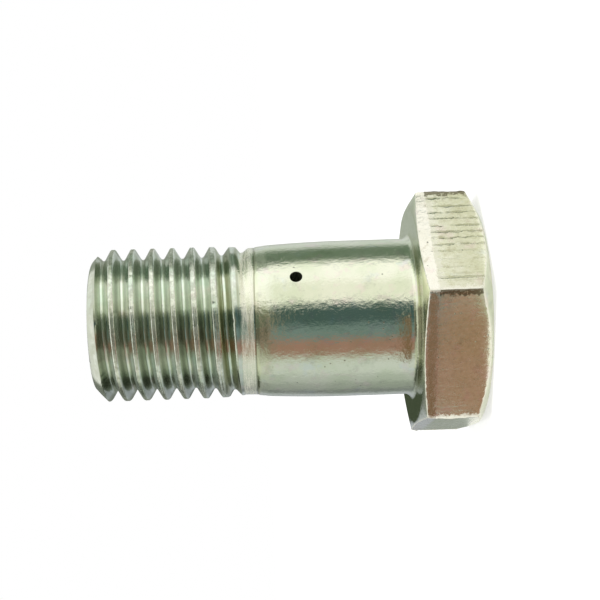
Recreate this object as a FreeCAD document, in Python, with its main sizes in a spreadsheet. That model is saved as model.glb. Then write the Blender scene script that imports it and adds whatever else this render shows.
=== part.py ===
import FreeCAD, Part
import os
import re

import Sketcher
from FreeCAD import Placement, Rotation, Vector

# Banjo bolt with a fine M12 x 1.5 right-hand rolled thread, in one piece of steel
# It stands on the crown of its head: the origin is the centre of the crown face
# +Z runs along the axis, through the bearing face to the threaded end
# Lengths are millimetres and angles are degrees

SIZES = {
    # Head
    "across_flats": 16.97,
    "head_height": 5.0,
    "crown_flat_inset": 0.385,
    "crown_chamfer_angle": 31.0,
    "bearing_flat_inset": 0.235,
    "bearing_chamfer_angle": 11.0,
    "trimmed_band_height": 0.95,
    "trimmed_band_draft": 7.0,
    "head_fillet_radius": 0.6,
    # Lengths of the shank, one after another from the bearing face of the head
    "straight_shank_length": 6.4,
    "taper_length": 4.7,
    "collar_step_width": 0.2,
    "collar_length": 0.75,
    "neck_cone_length": 0.9,
    "threaded_length": 11.25,
    # Diameters of the shank, and how far each part behind the thread stands off it
    "shank_diameter": 12.0,
    "thread_crest_diameter": 11.65,
    "collar_under_crest": 0.185,
    "collar_step_height": 0.09,
    "neck_over_root": 0.2,
    # Thread
    "thread_pitch": 1.5,
    "thread_flank_angle": 60.0,
    "thread_crest_flat": 0.31,
    "thread_root_flat": 0.23,
    "first_groove_setback": 0.13,
    "runout_turns": 0.5,
    "runout_rise": 0.62,
    "end_chamfer": 0.875,
    # Passage for the fluid
    "axial_bore_diameter": 5.5,
    "bore_past_cross_hole": 1.2,
    "drill_point_angle": 118.0,
    "bore_mouth_chamfer": 0.4,
    "cross_hole_diameter": 0.9,
    "cross_hole_along_taper": 2.46,
    "cross_hole_turn": 39.0,
    # How far a cutting profile reaches past the metal that it cuts
    "cutter_overshoot": 0.05,
    "cutter_reach": 1.0,
}

HEX_SIDES = 6

doc = FreeCAD.newDocument("BanjoBolt")
sheet = doc.addObject("Spreadsheet::Sheet", "Sizes")
for row, (alias, value) in enumerate(SIZES.items(), start=1):
    sheet.set(f"A{row}", alias)
    sheet.set(f"B{row}", str(value))
    sheet.setAlias(f"B{row}", alias)
doc.recompute()

body = doc.addObject("PartDesign::Body", "BanjoBolt")
body.Label = "banjo_bolt"
body.Placement = Placement(Vector(0, 0, 0), Rotation())
doc.recompute()


def origin_feature(role):
    """The plane or axis of the body's own origin that has this role."""
    return next(item for item in body.Origin.OriginFeatures if item.Role == role)


def new_sketch(name, role):
    """An empty sketch lying on one of the body's origin planes."""
    sketch = body.newObject("Sketcher::SketchObject", name)
    sketch.AttachmentSupport = (origin_feature(role), [""])
    sketch.MapMode = "FlatFace"
    doc.recompute()
    return sketch


def size(expression):
    """Puts the sheet's name before each size in an expression, as in 'shank_diameter / 2'."""
    return re.sub(
        "[a-z_]+",
        lambda word: f"Sizes.{word[0]}" if word[0] in SIZES else word[0],
        expression,
    )


def constrain(sketch, kind, *where, to):
    """A driving constraint whose value is an expression of the sheet's sizes."""
    value = sketch.evalExpression(size(to))
    value = getattr(value, "Value", value)
    index = sketch.addConstraint(Sketcher.Constraint(kind, *where, float(value)))
    sketch.setExpression(f"Constraints[{index}]", size(to))


def pin_point(sketch, edge, end, across, along):
    """Ties one end of an edge to its two distances from the sketch's axes."""
    for kind, axis, distance in (("DistanceX", -2, across), ("DistanceY", -1, along)):
        if distance == "0":
            sketch.addConstraint(Sketcher.Constraint("PointOnObject", edge, end, axis))
        else:
            constrain(sketch, kind, -1, 1, edge, end, to=distance)


def value_of(sketch, expression):
    value = sketch.evalExpression(size(expression)) if expression != "0" else 0.0
    return float(getattr(value, "Value", value))


def closed_profile(sketch, corners, arcs=None):
    """A closed outline through corners given as expressions.

    arcs maps the number of a side to the centre of the hollow arc that takes its place.
    """
    arcs = arcs or {}
    points = [Vector(value_of(sketch, x), value_of(sketch, y), 0) for x, y in corners]
    count = len(points)
    ends = []
    for side in range(count):
        start, finish = points[side], points[(side + 1) % count]
        if side in arcs:
            centre_x, centre_y = arcs[side]
            centre = Vector(value_of(sketch, centre_x), value_of(sketch, centre_y), 0)
            circle = Part.Circle(centre, Vector(0, 0, 1), (start - centre).Length)
            arc = Part.ArcOfCircle(circle, circle.parameter(finish), circle.parameter(start))
            edge = sketch.addGeometry(arc, False)
            ends.append((2, 1))
            constrain(sketch, "DistanceX", -1, 1, edge, 3, to=centre_x)
        else:
            sketch.addGeometry(Part.LineSegment(start, finish), False)
            ends.append((1, 2))
    for side in range(count):
        following = (side + 1) % count
        joint = (side, ends[side][1], following, ends[following][0])
        sketch.addConstraint(Sketcher.Constraint("Coincident", *joint))
    for side, (across, along) in enumerate(corners):
        pin_point(sketch, side, ends[side][0], across, along)
    doc.recompute()


def turned(kind, name, sketch):
    """A full turn of a profile about the bolt's axis: Revolution adds, Groove cuts."""
    feature = body.newObject(f"PartDesign::{kind}", name)
    feature.Profile = sketch
    feature.ReferenceAxis = (origin_feature("Z_Axis"), [""])
    feature.Angle = 360.0
    doc.recompute()
    return feature


def must_cut(feature, volume_before):
    """Stops the build where a cutting feature has taken nothing away."""
    if not feature.Shape.Volume < volume_before:
        raise RuntimeError(f"{feature.Name} cuts nothing")


# Hexagon of the head
# Its corners lie on the X axis, so two flats face +Y and -Y
def hexagon(name, lift=None):
    sketch = new_sketch(name, "XY_Plane")
    if lift:
        sketch.setExpression(".AttachmentOffset.Base.z", size(lift))
        doc.recompute()
    corner_radius = "across_flats / sqrt(3)"
    radius = value_of(sketch, corner_radius)
    circle = sketch.addGeometry(Part.Circle(Vector(0, 0, 0), Vector(0, 0, 1), radius), True)
    sketch.addConstraint(Sketcher.Constraint("Coincident", circle, 3, -1, 1))
    constrain(sketch, "Radius", circle, to=corner_radius)
    turn = Rotation(Vector(0, 0, 1), 360.0 / HEX_SIDES)
    corner = Vector(radius, 0, 0)
    first = circle + 1
    for side in range(HEX_SIDES):
        following = turn.multVec(corner)
        edge = sketch.addGeometry(Part.LineSegment(corner, following), False)
        sketch.addConstraint(Sketcher.Constraint("PointOnObject", edge, 1, circle))
        if side > 0:
            sketch.addConstraint(Sketcher.Constraint("Coincident", edge - 1, 2, edge, 1))
            sketch.addConstraint(Sketcher.Constraint("Equal", edge - 1, edge))
        corner = following
    sketch.addConstraint(Sketcher.Constraint("Coincident", edge, 2, first, 1))
    sketch.addConstraint(Sketcher.Constraint("PointOnObject", first, 1, -1))
    doc.recompute()
    return sketch


head_sketch = hexagon("HeadHexagon")
head = body.newObject("PartDesign::Pad", "HeadPrism")
head.Profile = head_sketch
head.setExpression("Length", size("head_height - trimmed_band_height"))
doc.recompute()

# The trimming die leaves a narrow band that leans in towards the bearing face
band_sketch = hexagon("TrimmedBandHexagon", "head_height - trimmed_band_height")
band = body.newObject("PartDesign::Pad", "TrimmedBand")
band.Profile = band_sketch
band.setExpression("Length", size("trimmed_band_height"))
band.setExpression("TaperAngle", size("0 - trimmed_band_draft"))
doc.recompute()

# Crown chamfer and the flatter one on the corners of the bearing side
OUTSIDE = "across_flats / sqrt(3) + cutter_reach"
CROWN_FLAT = "(across_flats / 2 - crown_flat_inset)"
BEARING_FLAT = "(across_flats / 2 - bearing_flat_inset)"

crown_sketch = new_sketch("CrownChamferProfile", "XZ_Plane")
crown_rise = f"({OUTSIDE} - {CROWN_FLAT}) * tan(crown_chamfer_angle)"
closed_profile(
    crown_sketch,
    [
        (CROWN_FLAT, "0"),
        (OUTSIDE, "0"),
        (OUTSIDE, crown_rise),
    ],
)
volume = band.Shape.Volume
crown_chamfer = turned("Groove", "CrownChamfer", crown_sketch)
must_cut(crown_chamfer, volume)

bearing_sketch = new_sketch("BearingChamferProfile", "XZ_Plane")
bearing_drop = f"({OUTSIDE} - {BEARING_FLAT}) * tan(bearing_chamfer_angle)"
closed_profile(
    bearing_sketch,
    [
        (BEARING_FLAT, "head_height"),
        (OUTSIDE, f"head_height - {bearing_drop}"),
        (OUTSIDE, "head_height"),
    ],
)
volume = crown_chamfer.Shape.Volume
bearing_chamfer = turned("Groove", "BearingChamfer", bearing_sketch)
must_cut(bearing_chamfer, volume)

# Shank and thread blank, turned in one profile from inside the head to the end face
# A straight length guides the banjo fitting, a slight taper eases down to a short collar,
# and a neck leads to the threaded part
STRAIGHT_END = "(head_height + straight_shank_length)"
TAPER_END = f"({STRAIGHT_END} + taper_length)"
COLLAR_START = f"({TAPER_END} + collar_step_width)"
COLLAR_END = f"({COLLAR_START} + collar_length)"
NECK = f"({COLLAR_END} + neck_cone_length)"
END = f"({NECK} + threaded_length)"
CREST = "(thread_crest_diameter / 2)"
THREAD_DEPTH = "((thread_pitch - thread_crest_flat - thread_root_flat) / 2 / tan(thread_flank_angle / 2))"
ROOT = f"({CREST} - {THREAD_DEPTH})"
COLLAR = f"({CREST} - collar_under_crest)"
NECK_RADIUS = f"({ROOT} + neck_over_root)"
NECK_WALL = f"(({CREST} - {NECK_RADIUS}) * tan(thread_flank_angle / 2))"

shank_sketch = new_sketch("ShankProfile", "XZ_Plane")
closed_profile(
    shank_sketch,
    [
        ("0", "head_height / 2"),
        ("shank_diameter / 2 + head_fillet_radius", "head_height / 2"),
        ("shank_diameter / 2 + head_fillet_radius", "head_height"),
        ("shank_diameter / 2", "head_height + head_fillet_radius"),
        ("shank_diameter / 2", STRAIGHT_END),
        (f"{COLLAR} + collar_step_height", TAPER_END),
        (COLLAR, COLLAR_START),
        (COLLAR, COLLAR_END),
        (NECK_RADIUS, NECK),
        (CREST, f"{NECK} + {NECK_WALL}"),
        (CREST, f"{END} - end_chamfer"),
        (f"{CREST} - end_chamfer", END),
        ("0", END),
    ],
    arcs={
        2: (
            "shank_diameter / 2 + head_fillet_radius",
            "head_height + head_fillet_radius",
        )
    },
)
shank = turned("Revolution", "Shank", shank_sketch)


# Rolled thread: one V groove with a narrow flat root, swept along the helix
def thread_groove(name, turns_back="0", rise="0"):
    """The groove's section at the first turn after the neck.

    For the runout it lies some turns further back along the helix, raised by its rise.
    """
    sketch = new_sketch(name, "XZ_Plane")
    middle = f"{NECK} - first_groove_setback - {turns_back} * thread_pitch"
    root = f"{ROOT} + {rise}"
    mouth = f"{CREST} + cutter_overshoot + {rise}"
    root_half = "thread_root_flat / 2"
    mouth_half = (
        "((thread_pitch - thread_crest_flat) / 2"
        " + cutter_overshoot * tan(thread_flank_angle / 2))"
    )
    sketch.AttachmentOffset = Placement(Vector(0, 0, 0), Rotation(Vector(0, -1, 0), 1.0))
    sketch.setExpression(".AttachmentOffset.Rotation.Angle", size(f"360 * {turns_back}"))
    doc.recompute()
    closed_profile(
        sketch,
        [
            (root, f"{middle} - {root_half}"),
            (mouth, f"{middle} - {mouth_half}"),
            (mouth, f"{middle} + {mouth_half}"),
            (root, f"{middle} + {root_half}"),
        ],
    )
    return sketch


def helical_cut(name, sketch, turns, cone_angle=None):
    """Sweeps a groove's section up the right-hand helix, on a cone where an angle is given."""
    cut = body.newObject("PartDesign::SubtractiveHelix", name)
    cut.Profile = sketch
    cut.ReferenceAxis = (origin_feature("Z_Axis"), [""])
    cut.Mode = "pitch-turns-angle"
    cut.LeftHanded = False
    cut.Reversed = False
    cut.Refine = False
    cut.setExpression("Pitch", size("thread_pitch"))
    cut.setExpression("Turns", size(turns))
    if cone_angle:
        cut.setExpression("Angle", size(cone_angle))
    doc.recompute()
    return cut


THREAD_TURNS = "(threaded_length + first_groove_setback) / thread_pitch + 1"
thread_sketch = thread_groove("ThreadGrooveProfile")
volume = shank.Shape.Volume
thread = helical_cut("RolledThread", thread_sketch, THREAD_TURNS)
must_cut(thread, volume)

# Runout: the groove starts shallow in the collar's cone and reaches full depth half a turn on
runout_sketch = thread_groove("RunoutGrooveProfile", "runout_turns", "runout_rise")
volume = thread.Shape.Volume
runout = helical_cut(
    "ThreadRunout",
    runout_sketch,
    "runout_turns",
    "-1 * atan(runout_rise / runout_turns / thread_pitch)",
)
must_cut(runout, volume)

# Axial bore from the threaded end, drilled just past the cross hole
CROSS_HOLE = f"({STRAIGHT_END} + cross_hole_along_taper)"
BORE_BOTTOM = f"({CROSS_HOLE} - bore_past_cross_hole)"
bore_sketch = new_sketch("AxialBoreProfile", "XZ_Plane")
closed_profile(
    bore_sketch,
    [
        ("0", f"{BORE_BOTTOM} - axial_bore_diameter / 2 / tan(drill_point_angle / 2)"),
        ("axial_bore_diameter / 2", BORE_BOTTOM),
        ("axial_bore_diameter / 2", f"{END} - bore_mouth_chamfer"),
        (
            "axial_bore_diameter / 2 + bore_mouth_chamfer + cutter_overshoot",
            f"{END} + cutter_overshoot",
        ),
        ("0", f"{END} + cutter_overshoot"),
    ],
)
volume = runout.Shape.Volume
axial_bore = turned("Groove", "AxialBore", bore_sketch)
must_cut(axial_bore, volume)

# Small cross hole through one wall of the shank into the bore
cross_sketch = new_sketch("CrossHoleCircle", "XZ_Plane")
cross_sketch.AttachmentOffset = Placement(Vector(0, 0, 0), Rotation(Vector(0, 1, 0), 1.0))
cross_sketch.setExpression(
    ".AttachmentOffset.Rotation.Angle", size("90 - cross_hole_turn")
)
doc.recompute()
cross_circle = cross_sketch.addGeometry(
    Part.Circle(
        Vector(0, value_of(cross_sketch, CROSS_HOLE), 0),
        Vector(0, 0, 1),
        value_of(cross_sketch, "cross_hole_diameter / 2"),
    ),
    False,
)
cross_sketch.addConstraint(Sketcher.Constraint("PointOnObject", cross_circle, 3, -2))
constrain(cross_sketch, "Radius", cross_circle, to="cross_hole_diameter / 2")
constrain(cross_sketch, "DistanceY", -1, 1, cross_circle, 3, to=CROSS_HOLE)
doc.recompute()
volume = axial_bore.Shape.Volume
cross_hole = body.newObject("PartDesign::Pocket", "CrossHole")
cross_hole.Profile = cross_sketch
cross_hole.Reversed = True
cross_hole.setExpression("Length", size("shank_diameter / 2 + cutter_reach"))
doc.recompute()
must_cut(cross_hole, volume)
body.Tip = cross_hole
doc.recompute()

for item in doc.Objects:
    if "Invalid" in item.State or "Error" in item.State:
        raise RuntimeError(f"{item.Name} failed: {item.State}")
if body.Shape.isNull() or not body.Shape.isValid() or len(body.Shape.Solids) != 1:
    raise RuntimeError("the bolt is not one valid solid")

os.makedirs("parts", exist_ok=True)
body.Shape.exportStep(f"parts/{body.Label}.step")
box = body.Shape.BoundBox
print(f"{body.Label}: {box.XLength:.3f} x {box.YLength:.3f} x {box.ZLength:.3f} mm")
print(f"volume {body.Shape.Volume:.1f} mm3, {len(body.Shape.Faces)} faces")
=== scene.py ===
# %% [markdown]
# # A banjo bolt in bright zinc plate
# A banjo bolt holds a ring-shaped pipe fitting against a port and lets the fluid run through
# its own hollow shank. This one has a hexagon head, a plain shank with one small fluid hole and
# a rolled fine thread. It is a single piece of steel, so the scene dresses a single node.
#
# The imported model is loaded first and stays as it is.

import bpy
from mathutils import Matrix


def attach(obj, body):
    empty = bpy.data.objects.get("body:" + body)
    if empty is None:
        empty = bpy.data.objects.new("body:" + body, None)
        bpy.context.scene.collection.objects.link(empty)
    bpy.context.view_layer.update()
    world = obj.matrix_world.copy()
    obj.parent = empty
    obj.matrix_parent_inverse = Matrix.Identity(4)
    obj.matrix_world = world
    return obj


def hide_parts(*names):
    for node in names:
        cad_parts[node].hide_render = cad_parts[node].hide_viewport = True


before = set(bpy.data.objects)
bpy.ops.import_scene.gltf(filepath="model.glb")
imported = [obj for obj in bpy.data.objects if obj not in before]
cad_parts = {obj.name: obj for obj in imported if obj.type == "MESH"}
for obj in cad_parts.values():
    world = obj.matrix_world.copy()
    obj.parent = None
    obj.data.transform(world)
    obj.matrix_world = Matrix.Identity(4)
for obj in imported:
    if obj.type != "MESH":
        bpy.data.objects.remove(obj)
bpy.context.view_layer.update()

# %% The other tools, and one unit
import math

import bpy
import numpy as np
from mathutils import Matrix, Vector

MM = 0.001
print("lengths below are in millimetres, and one of them is", MM, "metres")

# %% [markdown]
# # The grid of the bolt
# The whole skin is one grid: columns run round the axis and rows run along the outline, so every
# edge of the bolt can lie exactly on a row or a column. A lathe tool or a Screw modifier would
# make the shank, but not the hexagon, whose outline changes from column to column.
#
# Columns stand one degree apart, with a few more beside each corner of the hexagon, because a
# sheared corner is rounded over only a tenth of a millimetre. A corner of the hexagon lies on +X.
# Heights are measured from the crown of the head, which stands on the floor, up to the threaded
# end. The main lengths repeat the solid model's.

# %% Columns round the axis
column_degrees = set(range(360))
for corner in range(0, 360, 60):
    for step in (0.14, 0.3, 0.6):
        column_degrees |= {(corner + step) % 360, (corner - step) % 360}
degrees = np.array(sorted(column_degrees), dtype=float)
theta = np.radians(degrees)
columns = len(theta)
print("columns:", columns)

# %% The hexagon's radius at every column
APOTHEM = 16.97 / 2
CORNER_ROUNDING = 0.1


def hexagon_radius(angle_degrees):
    """Distance from the axis to the hexagon, whose corners lie at 0, 60, 120 degrees and so on."""
    from_corner = np.radians((angle_degrees + 30) % 60 - 30)
    flat = APOTHEM / np.cos(math.radians(30) - np.abs(from_corner))
    centre = (APOTHEM - CORNER_ROUNDING) / math.cos(math.radians(30))
    inside = CORNER_ROUNDING**2 - (centre * np.sin(from_corner)) ** 2
    arc = centre * np.cos(from_corner) + np.sqrt(np.maximum(inside, 0))
    on_arc = np.abs(centre * np.sin(from_corner)) < CORNER_ROUNDING * math.sin(math.radians(30))
    return np.where(on_arc, arc, flat)


hexagon = hexagon_radius(degrees)
print("hexagon radius from", hexagon.min().round(3), "to", hexagon.max().round(3), "mm")

# %% [markdown]
# # Helpers for rows
# A row is one point per column: its distance from the axis and its height. An edge of the bolt
# is never perfectly sharp, so a corner between two stretches of the outline is replaced by a few
# rows on a small curve. The curve shrinks where its neighbours come close. A Bevel modifier would
# do this too, but it can't change its width along an edge as these rows do.


# %% Rows of the outline
def row(radius, height):
    """One point per column, each with its distance from the axis and its height."""
    return np.stack([np.broadcast_to(radius, columns), np.broadcast_to(height, columns)], axis=1)


def between(first, last, count):
    """Rows between two rows, without either of them."""
    return [first + (last - first) * i / (count + 1) for i in range(1, count + 1)]


print("a row is", row(1.0, 0.0).shape[0], "points of a radius and a height")


# %% Rounded edges
def rounded(before, corner, after, cut, steps=4):
    """A few rows that round the edge at corner, starting up to cut away from it on both sides."""
    back, ahead = before - corner, after - corner
    back_length = np.linalg.norm(back, axis=1, keepdims=True)
    ahead_length = np.linalg.norm(ahead, axis=1, keepdims=True)
    reach = np.minimum(np.reshape(np.broadcast_to(cut, columns), (-1, 1)), 0.45 * back_length)
    reach = np.minimum(reach, 0.45 * ahead_length)
    start = corner + back / back_length * reach
    finish = corner + ahead / ahead_length * reach
    curve = []
    for i in range(steps + 1):
        t = i / steps
        curve.append((1 - t) ** 2 * start + 2 * t * (1 - t) * corner + t**2 * finish)
    return curve


MIDDLE_OF_EDGE = 2
print("rows in a rounded edge:", len(rounded(row(1, 0), row(1, 1), row(0, 1), 0.1)))


# %% Ragged lines
def wander(amount, waves, seed):
    """A smooth random line round the axis that closes on itself, mostly within the amount."""
    line = np.zeros(columns)
    dice = np.random.default_rng(seed)
    for wave in waves:
        line += dice.normal() * np.sin(wave * theta + dice.uniform(0, 2 * math.pi))
    return amount * line / math.sqrt(len(waves))


RAGGED_WAVES = range(9, 160, 7)
print("waves in a ragged line:", len(RAGGED_WAVES))

# %% [markdown]
# # The head
# The head is forged round and then sheared to a hexagon. The crown keeps a turned chamfer of 31
# degrees. The shearing die leaves a band just under the bearing face that leans in by 7 degrees,
# and its edges wander a little, with a thin burr that catches the light. A six-sided cylinder
# with bevels would be quicker, but its edges would all be alike. Here the rounding of each edge
# changes along its way.

# %% Sizes of the head
CROWN_FLAT = APOTHEM - 0.385
CROWN_SLOPE = math.tan(math.radians(31))
BEARING_FLAT = APOTHEM - 0.235
BEARING_SLOPE = math.tan(math.radians(11))
HEAD_TOP = 5.0
BAND_START = 4.05
BAND_LEAN = math.tan(math.radians(7)) / APOTHEM
SHANK = 6.0
FILLET = 0.6
print("across flats:", 2 * APOTHEM, "mm, height of the head:", HEAD_TOP, "mm")

# %% Key rows of the head
crown_edge = row(CROWN_FLAT, 0)
flat_low = row(hexagon, (hexagon - CROWN_FLAT) * CROWN_SLOPE)
band_start = BAND_START + np.clip(wander(0.05, RAGGED_WAVES, 3), -0.12, 0.12)
flat_high = row(hexagon, band_start)
leaning = hexagon * BEARING_SLOPE * BAND_LEAN
band_high_z = HEAD_TOP - (hexagon - BEARING_FLAT) * BEARING_SLOPE - band_start * leaning
band_high_z = band_high_z / (1 - leaning)
band_high = row(hexagon * (1 - (band_high_z - band_start) * BAND_LEAN), band_high_z)
bearing_edge = row(BEARING_FLAT, HEAD_TOP)
fillet_foot = row(SHANK + FILLET, HEAD_TOP)

crown_cut = 0.12 + np.clip(wander(0.05, RAGGED_WAVES, 1), -0.06, 0.1)
burr_cut = 0.09 + np.clip(wander(0.04, RAGGED_WAVES, 2), -0.05, 0.1)
print("the torn band is", (band_high_z - band_start).mean().round(2), "mm high")

# %% Rows of the head, from the crown to the bearing face
rows = [row(r, 0) for r in (1.5, 3.5, 5.5, 7.0, 7.7)]
marks = {}
rows += rounded(rows[-1], crown_edge, flat_low, 0.14)
rows += between(rows[-1], flat_low, 2)
low_edge = rounded(crown_edge, flat_low, flat_high, crown_cut)
marks["chamfer ends"] = len(rows) + MIDDLE_OF_EDGE
rows += low_edge
beside_chamfer = low_edge[-1] + np.array([0.0, 0.18])
band_edge = rounded(flat_low, flat_high, band_high, 0.16)
rows += [beside_chamfer] + between(beside_chamfer, band_edge[0], 7)
marks["band starts"] = len(rows)
rows += band_edge
top_edge = rounded(flat_high, band_high, bearing_edge, burr_cut)
rows += between(rows[-1], top_edge[0], 2)
marks["band ends"] = len(rows) + MIDDLE_OF_EDGE
rows += top_edge
rows += rounded(band_high, bearing_edge, fillet_foot, 0.12, steps=3)
rows += between(rows[-1], fillet_foot, 3)
print("rows of the head:", len(rows))

# %% A thin ragged burr along the six corners
near_corner = np.abs((degrees + 30) % 60 - 30)
corner_number = (((degrees + 30) // 60) % 6).astype(int)
dice = np.random.default_rng(5)
for index in range(marks["chamfer ends"] - 1, marks["band ends"] + 2):
    corner_burr = dice.normal(0.03, 0.03, 6).clip(-0.01, 0.09)
    raised = corner_burr[corner_number] * np.clip(1 - near_corner / 0.7, 0, 1)
    rows[index] = rows[index] + np.stack([raised, np.zeros(columns)], axis=1)
print("reach of the burr from the axis:", max(r[:, 0].max() for r in rows).round(3), "mm")

# %% [markdown]
# # The shank
# A fillet leads from the bearing face to a straight length that guides the fitting. From there
# the shank eases down in a long, slightly bellied line to a faint break and a small step, where
# the neck in front of the thread begins. The solid model has one straight taper here. The rows
# follow the curve that the photo shows, which stays within a tenth of a millimetre of it. A
# curve object could draw the same line, but as rows it joins the rest of the grid.

# %% Sizes of the shank
STRAIGHT_END = 10.0
TAPER_END = 16.1
TAPER_BREAK = 15.85
NECK_START = 17.0
NECK_END = 17.95


def shank_radius(height):
    """Radius of the bellied length between the straight shank and the step to the neck."""
    along = np.maximum((height - STRAIGHT_END) / (TAPER_END - STRAIGHT_END), 0)
    return SHANK - 0.200 * along**1.9 - 0.045 * np.maximum(height - TAPER_BREAK, 0)


print("radius at the end of the taper:", shank_radius(TAPER_END).round(3), "mm")

# %% Rows of the shank, from the fillet to the neck
marks["fillet starts"] = len(rows)
for turn in np.radians(np.linspace(0, 90, 8)):
    across, up = 1 - math.sin(turn), 1 - math.cos(turn)
    rows.append(row(SHANK + FILLET * across, HEAD_TOP + FILLET * up))
marks["shank starts"] = len(rows)
for height in (5.75, 6.1, 6.8, 7.6, 8.4, 9.2, 10.0, 10.7, 11.4, 12.1, 12.8, 13.4, 13.9, 14.4,
               14.9, 15.4, 15.77, 15.93, 16.15):
    rows.append(row(shank_radius(height), height))
for radius, height in (
    (5.748, 16.35), (5.725, 16.6), (5.700, 16.76), (5.680, 16.83), (5.655, 16.88),
    (5.640, 16.92), (5.645, 16.96), (5.655, NECK_START),
):
    rows.append(row(radius, height))
print("rows up to the neck:", len(rows))

# %% [markdown]
# # The thread
# The thread is rolled: hardened dies press a V-shaped groove into the blank, and the metal that
# they push up closes to a crest with a fine seam along its middle. A Screw modifier could wind
# such a profile up, but it gives no runout and no end chamfer. Level rows would need to be very
# many, or the flanks would be jagged. Rows that climb with the helix put every flank and crest on
# a row, so few are enough.
#
# After one turn a row arrives one pitch higher, so at the last column it is joined to the row
# that lies one pitch further on. Rows that would leave the threaded length are held at its two
# end rings.
#
# The first turns are the runout: the groove is shallow and its side towards the head is flatter,
# until it fades into the neck. The solid model has a short cone there, and here the neck stays
# nearly as wide as the shank, as the photo shows it.

# %% Sizes of the thread
CREST = 5.825
ROOT = 4.994
PITCH = 1.5
FIRST_GROOVE = 17.82
THREAD_LOW = 17.05
END_Z = 29.2
END_CHAMFER = 0.875
print("depth of the groove:", round(CREST - ROOT, 3), "mm, pitch:", PITCH, "mm")

# %% Rows that climb with the thread
ROOT_AND_FLANK = (0.055, 0.10, 0.19, 0.42, 0.56)
CREST_AND_SEAM = (0.61, 0.66, 0.705)
one_side = np.array(ROOT_AND_FLANK + CREST_AND_SEAM)
phase_rows = np.concatenate(([0.0], one_side, [PITCH / 2], PITCH - one_side[::-1]))
rows_per_turn = len(phase_rows)
first_turn = math.floor((THREAD_LOW - FIRST_GROOVE) / PITCH) - 2
last_turn = math.ceil((END_Z - FIRST_GROOVE) / PITCH) + 2
climb = PITCH * degrees / 360
helix_rows = []
for turn in range(first_turn, last_turn):
    for phase in phase_rows:
        helix_rows.append(FIRST_GROOVE + turn * PITCH + phase + climb)
helix_z = np.clip(np.array(helix_rows), THREAD_LOW, END_Z)
print("rows per turn:", rows_per_turn, "rows of the thread:", len(helix_z))

# %% The groove
RUNOUT_TURNS = [-0.32, -0.18, 0.05, 1.0, 2.0, 2.6]
RUNOUT_RISE = [0.90, 0.66, 0.30, 0.16, 0.05, 0.0]
GROOVE_STARTS, FAR_OUTSIDE = -0.4, 9.0
ROOT_HALF_WIDTH, ROOT_SOFTNESS, ROOT_SINK = 0.115, 0.0064, 0.02
FLANK = 1 / math.tan(math.radians(30))


def groove_radius(angle, height, turn):
    """Radius of one turn of the groove, which rises out of the metal in its first turns."""
    along = turn + angle / 360
    centre = FIRST_GROOVE + along * PITCH
    rise = np.interp(along, RUNOUT_TURNS, RUNOUT_RISE)
    rise = np.where(along < GROOVE_STARTS, FAR_OUTSIDE, rise)
    towards_head = np.interp(along, [0.1, 0.9, 1.3], [0.95, 1.3, FLANK])
    steepness = np.where(height < centre, towards_head, FLANK)
    flank = (np.abs(height - centre) - ROOT_HALF_WIDTH) * steepness
    rounded_root = 0.5 * (flank + np.sqrt(flank**2 + ROOT_SOFTNESS)) - ROOT_SINK
    return ROOT + rise + rounded_root


print("the groove is", RUNOUT_RISE[2], "mm short of full depth where its first turn starts")

# %% The blank between the grooves
BLANK_OUTLINE = [
    (THREAD_LOW, 5.655), (17.15, 5.645), (17.85, 5.63), (18.2, 5.72), (18.8, 5.77), (19.6, 5.80),
    (20.6, CREST), (END_Z - END_CHAMFER, CREST), (END_Z - 0.1, CREST - END_CHAMFER + 0.08),
    (END_Z, CREST - END_CHAMFER - 0.08),
]


def blank_radius(height):
    """Outline from the neck over the first low crests to the full crest and the end chamfer."""
    heights, radii = zip(*BLANK_OUTLINE)
    return np.interp(height, heights, radii)


def smooth_least(a, b, blend):
    """The smaller of two values, with a soft change from one to the other."""
    h = np.clip(0.5 + 0.5 * (b - a) / blend, 0, 1)
    return b + (a - b) * h - blend * h * (1 - h)


print("radius of the neck:", blank_radius(17.5).round(3), "mm")

# %% [markdown]
# ## Marks on the thread
# The folded crest of a rolled thread is open on some stretches and closed on others. Handling
# adds small dents, mostly on the crests. Both are cut into the rows, because a dent on a crest
# shows in the outline, which bump in a material can't change.


# %% Crest seam
SEAM_DEPTH, SEAM_HALF_WIDTH = 0.025, 0.06


def seam_depth(angle, height):
    """Depth of the open seam along the middle of the crest."""
    along = (height - FIRST_GROOVE) / PITCH
    turn = np.round(along - angle / 360 - 0.5)
    way = (turn + 0.5 + angle / 360) * 2 * math.pi
    openness = 0.55 + 0.3 * np.sin(way * 1.7 + 0.6) + 0.25 * np.sin(way * 4.3 + 2.0)
    centre = FIRST_GROOVE + (turn + 0.5 + angle / 360) * PITCH
    aside = np.abs(height - centre)
    return SEAM_DEPTH * np.clip(openness, 0, 1) * np.clip(1 - aside / SEAM_HALF_WIDTH, 0, 1)


crest_middle = FIRST_GROOVE + 1.5 * PITCH
print("depth of the seam at one point:", seam_depth(0.0, crest_middle).round(4), "mm")

# %% Small nicks: angle, height, width and depth of each
RANDOM_NICKS = 46
rng = np.random.default_rng(12)
nicks = []
for _ in range(RANDOM_NICKS):
    nicks.append((rng.uniform(0, 360), rng.uniform(18.2, 28.8), rng.uniform(0.04, 0.10),
                  rng.uniform(0.015, 0.05)))
for angle, height, width, depth in (
    (-59, 26.05, 0.15, 0.06), (-57, 19.95, 0.13, 0.04), (-90, 25.1, 0.12, 0.06),
    (-70, 18.55, 0.12, 0.05), (-84, 28.1, 0.2, 0.1), (-72, 28.2, 0.15, 0.1),
    (-64, 28.1, 0.12, 0.08), (-96, 28.2, 0.16, 0.1), (-104, 28.1, 0.2, 0.09),
    (-112, 28.2, 0.12, 0.08), (-100, 21.9, 0.12, 0.06),
):
    nicks.append((angle % 360, height, width, depth))


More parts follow.
